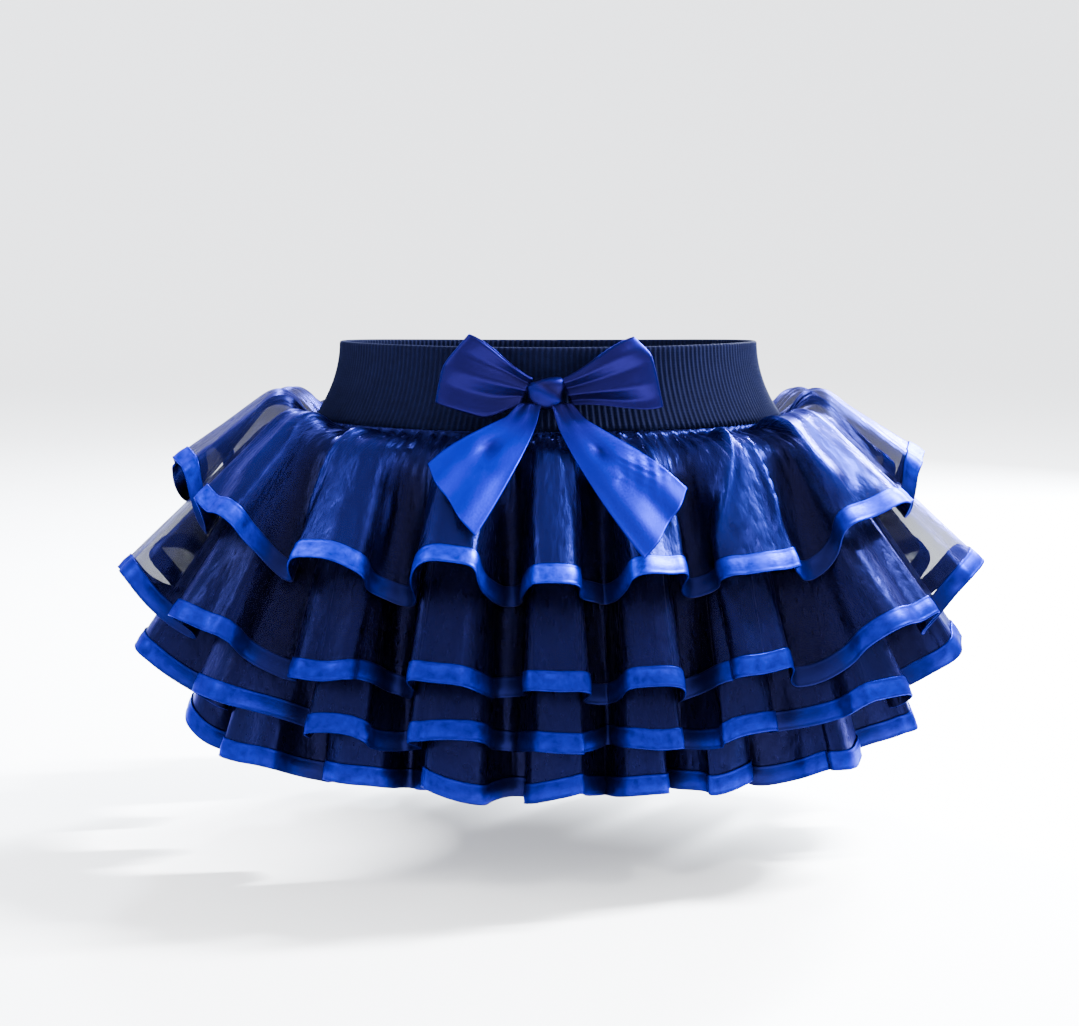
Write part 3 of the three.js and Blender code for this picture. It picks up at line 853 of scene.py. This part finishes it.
class SKIRT_OT_ruffles(bpy.types.Operator):
    """Gather the four organza tiers under the waistband"""

    bl_idname = "skirt.ruffles"
    bl_label = "Ruffle Tiers"

    def execute(self, context):
        settings = context.scene.skirt_ruffles
        sheer = organza_material("organza_sheer", settings.colour, settings.cover)
        doubled = organza_material("organza_doubled", settings.colour, settings.inner_cover)
        for tier, row in enumerate(TIERS):
            azimuth = tier_columns(tier, settings.columns_per_fold)
            easing = np.linspace(0, 1, settings.rows) ** 1.25
            distances = easing * (row.length - 0.2)
            points = dressed_tier(tier, azimuth, distances, settings)
            width = hem_length(points[:, -1])
            across = np.linspace(0, width, len(azimuth) + 1)
            # Painted light and shade on the tier.
            light = painted_fold_light(tier, azimuth, distances, TIER_PAINTED_LIGHT)
            piece = sheet_object(f"organza_tier_{tier + 1}", points, (across, distances), True, light=light)
            finish_piece(piece, sheer if tier < 2 else doubled, [f"tier_{tier + 1}"])
        return {"FINISHED"}


class SKIRT_OT_hem_ribbons(bpy.types.Operator):
    """Sew satin ribbon along the outside of each hem"""

    bl_idname = "skirt.hem_ribbons"
    bl_label = "Hem Ribbons"

    def execute(self, context):
        settings = context.scene.skirt_ribbons
        ruffles = context.scene.skirt_ruffles
        material = satin_material(HEM_SATIN, settings.colour)
        width = settings.width / MM
        for tier, row in enumerate(TIERS):
            azimuth = tier_columns(tier, ruffles.columns_per_fold)
            distances = np.linspace(row.length - width, row.length, 9)
            points = dressed_tier(tier, azimuth, distances, ruffles)
            normals = grid_normals(points, True)
            rows = []
            for place, out in RIBBON_SECTION:
                at = place * (len(distances) - 1)
                index = min(int(at), len(distances) - 2)
                base = mix(points[:, index], points[:, index + 1], at - index)
                normal = mix(normals[:, index], normals[:, index + 1], at - index)
                rows.append(base + normal * (CLOTH_CLEARANCE + out * settings.thickness / MM))
            grid = np.stack(rows, axis=1)
            around = hem_length(points[:, -1])
            across = np.linspace(0, around, len(azimuth) + 1)
            down = np.linspace(0, 2 * width, len(RIBBON_SECTION) + 1)
            from_edge = np.array([min(place, 1 - place) for place, _ in RIBBON_SECTION])
            selvedge = 1 - SELVEDGE.shade * np.exp(-((from_edge / SELVEDGE.width) ** 2))
            # Painted light and shade on the ribbon, after its tier's folds.
            light = painted_fold_light(tier, azimuth, distances[-1:], HEM_PAINTED_LIGHT, HEM_NARROWING) * selvedge
            piece = sheet_object(f"satin_hem_{tier + 1}", grid, (across, down), True, ring=True, light=light)
            finish_piece(piece, material, [f"hem_ribbon_{tier + 1}"])
        return {"FINISHED"}


def bow_centre():
    face = band_face(np.array([0.0]), np.array([BAND.height / 2 - BOW.centre[1]]))[0]
    return np.array([BOW.centre[0], face[1] - BOW.stand_off, BOW.centre[1]])


def loop_grid(loop, along, across, pleat):
    """A loop's ribbon: out in front of the knot, over at its end, and back behind."""
    rise = math.radians(loop.rise)
    slant = math.radians(loop.rise + BOW.loop_slant)
    share, over = np.meshgrid(along, across, indexing="ij")
    outward = np.sin(np.pi * share)
    upper = smooth(outward / BOW.loop_opening)
    lower = smooth(outward / loop.spread) ** loop.delay
    width = mix(BOW.loop_pinch, BOW.loop_width, mix(lower, upper, over + 0.5))
    to_edge = np.where(over > loop.fullest, 0.5 - loop.fullest, 0.5 + loop.fullest)
    from_fullest = (over - loop.fullest) / to_edge
    bulge = BOW.loop_bulge * (1 - np.hypot(from_fullest, 0.18)) * outward**4
    start = BOW.knot[0] / 2 - BOW.loop_tuck
    reach = start + (loop.length + BOW.loop_tuck + BOW.loop_ease) * outward + bulge
    front = np.cos(np.pi * share)
    swell = np.sin(2 * np.pi * share) * (1 - over ** 2)
    depth = BOW.loop_mouth * front + BOW.loop_fullness * swell
    # Pleats are deepest a little way out of the knot, and nearly flat in the last fifth of the loop.
    fan = mix(BOW.crease_reach, 1, (1 - outward) ** 0.8) * (0.4 + 0.6 * outward)
    fan = fan * (1 - 0.75 * smooth((outward - 0.8) / 0.2))
    turns = BOW.loop_pleats * over + 0.15 * loop.side
    ridges = np.cos(2 * np.pi * turns + 0.9 * np.sin(2.4 * outward))
    depth = depth + np.sign(front) * pleat * fan * (ridges + 0.45 * ridges**3)
    x = reach * math.cos(rise) - over * width * math.sin(slant)
    z = reach * math.sin(rise) + over * width * math.cos(slant) - BOW.loop_drop
    return np.stack([loop.side * x, -depth, z], axis=-1) + bow_centre()


def loop_light(along, across):
    """A loop's painted shade: darker towards the knot, and in the valleys between its pleats."""
    share, over = np.meshgrid(along, across, indexing="ij")
    outward = np.sin(np.pi * share)
    crest = 0.5 + 0.5 * np.cos(2 * np.pi * BOW.loop_pleats * over)
    return BOW.loop_light * mix(0.1 + 0.5 * crest, 1.0, smooth(outward / 0.8))


class SKIRT_OT_bow_loops(bpy.types.Operator):
    """Fold the bow's two loops of satin ribbon"""

    bl_idname = "skirt.bow_loops"
    bl_label = "Bow Loops"

    def execute(self, context):
        settings = context.scene.skirt_bow
        material = satin_material(BOW_SATIN, settings.colour)
        columns, rows = LOOP_MESH
        for loop in LOOPS:
            along = np.linspace(0.03, 0.97, columns)
            across = np.linspace(-0.5, 0.5, rows)
            points = loop_grid(loop, along, across, settings.pleat / MM)
            length = 2 * (loop.length + BOW.loop_hidden)
            uv = (np.linspace(0, length, columns), np.linspace(0, BOW.ribbon_width, rows))
            light = loop_light(along, across)
            piece = sheet_object(f"satin_loop_{loop.name}", points, uv, False, light=light)
            apply_modifier(piece, "SOLIDIFY", thickness=settings.thickness, offset=0)
            finish_piece(piece, material, [f"bow_loop_{loop.name}"])
        return {"FINISHED"}


class SKIRT_OT_bow_knot(bpy.types.Operator):
    """Wrap the bow's knot"""

    bl_idname = "skirt.bow_knot"
    bl_label = "Bow Knot"

    def execute(self, context):
        bpy.ops.object.select_all(action="DESELECT")
        bpy.ops.mesh.primitive_uv_sphere_add(segments=96, ring_count=64, radius=1)
        piece = context.object
        piece.name = "satin_knot"
        power = BOW.knot_power
        centre = bow_centre()
        size = np.array(BOW.knot) / 2
        light = []
        for vertex in piece.data.vertices:
            direction = np.array(vertex.co)
            squared = direction / (np.abs(direction) ** power).sum() ** (1 / power)
            across_fold = 0.8 * squared[2] + 0.6 * squared[0]
            fold = math.cos(4.4 * across_fold + 0.5) + 0.4 * math.cos(9.1 * across_fold - 0.7)
            taper = 1 + KNOT_FOLDS.taper * squared[2]
            swell = 1 + KNOT_FOLDS.height * fold
            place = squared * size * swell * np.array([taper, 1, 1])
            place[2] += BOW.knot_slant * place[0]
            vertex.co = Vector((centre + place) * MM)
            # Painted shade on the knot, lighter on the crests of its folds.
            light.append(KNOT_FOLDS.light + KNOT_FOLDS.crest_light * fold)
        store_painted_light(piece.data, light)
        piece.data.materials.clear()
        bpy.ops.object.shade_smooth()
        finish_piece(piece, bpy.data.materials[BOW_SATIN.name], ["bow_knot"])
        return {"FINISHED"}


def drape(azimuth, distance):
    """What the tails hang on: a bridge from the knot to the ruffle, and then its crests."""
    row = TIERS[0]
    side = side_share(azimuth)
    tuck = seam_lean(azimuth)
    puff = mix(row.puff_front, row.puff_side, side)
    final = mix(row.crest_front, row.crest_side, side) * BOW.drape_reach
    lift = BOW.tail_lift
    marks = np.arange(0, BOW.drape_length, FALL_STEP)
    out, down = fall(tuck, puff, final, marks)
    lean = np.radians(lean_at(tuck[:, None], puff[:, None], final[:, None], marks[None, :]))
    path = np.stack([out + lift * np.cos(lean), SEAM_Z - down + lift * np.sin(lean)], axis=-1)
    touch = int(BOW.tail_touch / FALL_STEP)
    knot = np.array(BOW.tail_start, dtype=float)
    bridge = np.linalg.norm(path[:, touch] - knot, axis=-1)
    rows = np.arange(len(azimuth))

    def place(distance):
        along = BOW.tail_touch + distance - bridge
        step = along / FALL_STEP
        index = np.clip(step.astype(int), touch, len(marks) - 2)
        lying = mix(path[rows, index], path[rows, index + 1], (step - index)[:, None])
        hanging = mix(knot[None, :], path[:, touch], (distance / bridge)[:, None])
        return np.where((distance < bridge)[:, None], hanging, lying)

    reach = np.minimum(distance, BOW.tail_softness)
    softened = np.mean([place(distance + share * reach) for share in np.linspace(-1, 1, 9)], axis=0)
    plan = oval_point(BAND.seam, azimuth) + oval_normal(BAND.seam, azimuth) * softened[:, :1]
    return np.concatenate([plan, softened[:, 1:]], axis=-1)


def tail_length(tail):
    """How much of a tail shows, midway across its slanted end, in mm."""
    return (tail.tip[1] + tail.corner[1]) / 2


def patch(tail, over, down, dimple):
    """A soft patch on a tail: 1 at its middle, and less with the distance on the flat ribbon."""
    aside = (over - dimple.place[0]) * BOW.ribbon_width
    apart = np.hypot(aside, (down - dimple.place[1]) * tail_length(tail))
    return np.exp(-((apart / dimple.size) ** 2))


def painted_tail_light(tail, across, along):
    """A tail's painted shade: darker under the knot and in its hollows."""
    over, down = np.meshgrid(across, along, indexing="ij")
    light = tail.light * mix(0.08, 1.0, smooth(down / 0.4))
    for dimple in DIMPLES:
        if dimple.tail == tail.name and dimple.height < 0:
            light = light * (1 - HOLLOW_PAINTED_SHADE * patch(tail, over, down, dimple))
    return light


def tail_grid(tail, across, along, pleat):
    """A tail fans out from the knot; across runs from its inner to its outer edge."""
    over, down = np.meshgrid(across, along, indexing="ij")
    outside = math.copysign(1, tail.corner[0])
    bow = BOW.tail_bow * outside * over * np.sin(np.pi * down)
    azimuth, shown = (
        mix(mix(tail.inner[k], tail.tip[k], down), mix(tail.outer[k], tail.corner[k], down), over)
        for k in (0, 1)
    )
    azimuth = azimuth + bow
    distance = shown + BOW.tail_root * smooth(down * 8)
    points = drape(azimuth.ravel(), distance.ravel()).reshape(*over.shape, 3)
    wave = BOW.tail_wave * (1 - np.cos(4 * np.pi * over)) * down / 2
    gather = 0.7 * pleat * (1 + np.cos(2 * np.pi * 2 * over)) / 2 * np.exp(-down * 6)
    relief = wave + gather
    for dimple in DIMPLES:
        if dimple.tail == tail.name:
            relief = relief + dimple.height * patch(tail, over, down, dimple)
    if CRINKLE.tail == tail.name:
        ripples = np.sin(31 * over + 9 * down) * np.sin(38 * down - 7 * over)
        ripples += 0.6 * np.sin(57 * over - 40 * down)
        relief = relief + CRINKLE.height * patch(tail, over, down, CRINKLE) * ripples
    normal = oval_normal(BAND.seam, azimuth)
    points[..., :2] += normal * relief[..., None]
    return points


class SKIRT_OT_bow_tails(bpy.types.Operator):
    """Lay the bow's two tails over the first ruffle"""

    bl_idname = "skirt.bow_tails"
    bl_label = "Bow Tails"

    def execute(self, context):
        settings = context.scene.skirt_bow
        rows, columns = TAIL_MESH
        for tail in TAILS:
            across = np.linspace(0, 1, columns)
            along = np.linspace(0, 1, rows)
            points = tail_grid(tail, across, along, settings.pleat / MM)
            length = tail_length(tail) + BOW.tail_hidden
            uv = (np.linspace(0, BOW.ribbon_width, columns), np.linspace(0, length, rows))
            light = painted_tail_light(tail, across, along)
            piece = sheet_object(f"satin_tail_{tail.name}", points, uv, False, light=light)
            apply_modifier(piece, "SOLIDIFY", thickness=settings.thickness, offset=0)
            finish_piece(piece, bpy.data.materials[BOW_SATIN.name], [f"bow_tail_{tail.name}"])
        return {"FINISHED"}


# ---- stage ----


def add_lamp(lamp):
    bpy.ops.object.light_add(type="AREA", location=lamp.place)
    light = bpy.context.object
    light.name = lamp.name
    light.data.shape = "RECTANGLE"
    light.data.size, light.data.size_y = lamp.size
    light.data.energy = lamp.power
    light.data.color = lamp.colour
    aim = Vector(LAMP_TARGET) - Vector(lamp.place)
    light.rotation_euler = aim.to_track_quat("-Z", "Y").to_euler()


def add_studio(settings):
    """A pale floor that rises into a round wall."""
    bpy.ops.object.select_all(action="DESELECT")
    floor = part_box("hem_ribbon_4")[0][2] - settings.floor_drop
    radius, rise, steps = STUDIO.radius, STUDIO.rise, STUDIO.steps
    bpy.ops.mesh.primitive_circle_add(vertices=96, radius=radius, fill_type="NGON", location=(0, 0, floor))
    studio = bpy.context.object
    studio.name = "studio_floor"
    bpy.ops.object.mode_set(mode="EDIT")
    bpy.ops.mesh.select_all(action="SELECT")
    bpy.ops.mesh.region_to_loop()
    reached = radius
    for step in range(1, steps + 1):
        angle = math.pi / 2 * step / steps
        wanted = radius + rise * math.sin(angle)
        before = math.pi / 2 * (step - 1) / steps
        height = rise * (math.cos(before) - math.cos(angle))
        bpy.ops.mesh.extrude_edges_move(TRANSFORM_OT_translate={"value": (0, 0, height)})
        wider = wanted / reached
        bpy.ops.transform.resize(value=(wider, wider, 1), center_override=(0, 0, floor))
        reached = wanted
    bpy.ops.object.mode_set(mode="OBJECT")
    bpy.ops.object.shade_smooth()
    material, _, _, shader = new_material("studio_paint")
    set_inputs(shader, Base_Color=(*settings.colour, 1), Roughness=0.9, Specular_IOR_Level=0.2)
    studio.data.materials.append(material)


def add_camera(settings):
    """The camera stands a little above the waist and looks slightly down."""
    place = Vector((0, -settings.distance, CAMERA_HEIGHT))
    camera = bpy.data.objects.new("camera", bpy.data.cameras.new("camera"))
    bpy.context.scene.collection.objects.link(camera)
    camera.data.sensor_fit = "HORIZONTAL"
    camera.data.sensor_width = 36
    camera.data.lens = SHARPNESS / IMAGE_WIDTH * camera.data.sensor_width
    camera.location = place
    camera.rotation_euler = (Vector(CAMERA_TARGET) - place).to_track_quat("-Z", "Y").to_euler()
    bpy.context.scene.camera = camera


class SKIRT_OT_stage(bpy.types.Operator):
    """Set up the floor, the lights and the camera"""

    bl_idname = "skirt.stage"
    bl_label = "Stage"

    def execute(self, context):
        settings = context.scene.skirt_stage
        add_studio(settings)
        for lamp in LAMPS:
            add_lamp(lamp)
        world = bpy.data.worlds.new("studio")
        world.use_nodes = True
        set_inputs(world.node_tree.nodes["Background"], **AMBIENT)
        context.scene.world = world
        add_camera(settings)
        return {"FINISHED"}


class SKIRT_PT_sidebar(bpy.types.Panel):
    """Buttons for each piece of the skirt"""

    bl_label = "Tutu Skirt"
    bl_space_type = "VIEW_3D"
    bl_region_type = "UI"
    bl_category = "Tutu Skirt"

    def draw(self, context):
        for operator in OPERATORS:
            self.layout.operator(operator.bl_idname)
        for name in SETTINGS:
            group = getattr(context.scene, name)
            for key in group.__annotations__:
                self.layout.prop(group, key)


OPERATORS = (
    SKIRT_OT_waistband,
    SKIRT_OT_ruffles,
    SKIRT_OT_hem_ribbons,
    SKIRT_OT_bow_loops,
    SKIRT_OT_bow_knot,
    SKIRT_OT_bow_tails,
    SKIRT_OT_stage,
)
SETTINGS = {
    "skirt_waistband": WaistbandSettings,
    "skirt_ruffles": RuffleSettings,
    "skirt_ribbons": RibbonSettings,
    "skirt_bow": BowSettings,
    "skirt_stage": StageSettings,
}


def register():
    for cls in (*SETTINGS.values(), *OPERATORS, SKIRT_PT_sidebar):
        bpy.utils.register_class(cls)
    for name, cls in SETTINGS.items():
        setattr(bpy.types.Scene, name, PointerProperty(type=cls))


def unregister():
    for name in SETTINGS:
        delattr(bpy.types.Scene, name)
    for cls in reversed((*SETTINGS.values(), *OPERATORS, SKIRT_PT_sidebar)):
        bpy.utils.unregister_class(cls)


def main():
    register()
    bpy.ops.skirt.stage()
    bpy.ops.skirt.waistband()
    bpy.ops.skirt.ruffles()
    bpy.ops.skirt.hem_ribbons()
    bpy.ops.skirt.bow_loops()
    bpy.ops.skirt.bow_knot()
    bpy.ops.skirt.bow_tails()


if __name__ == "__main__":
    main()
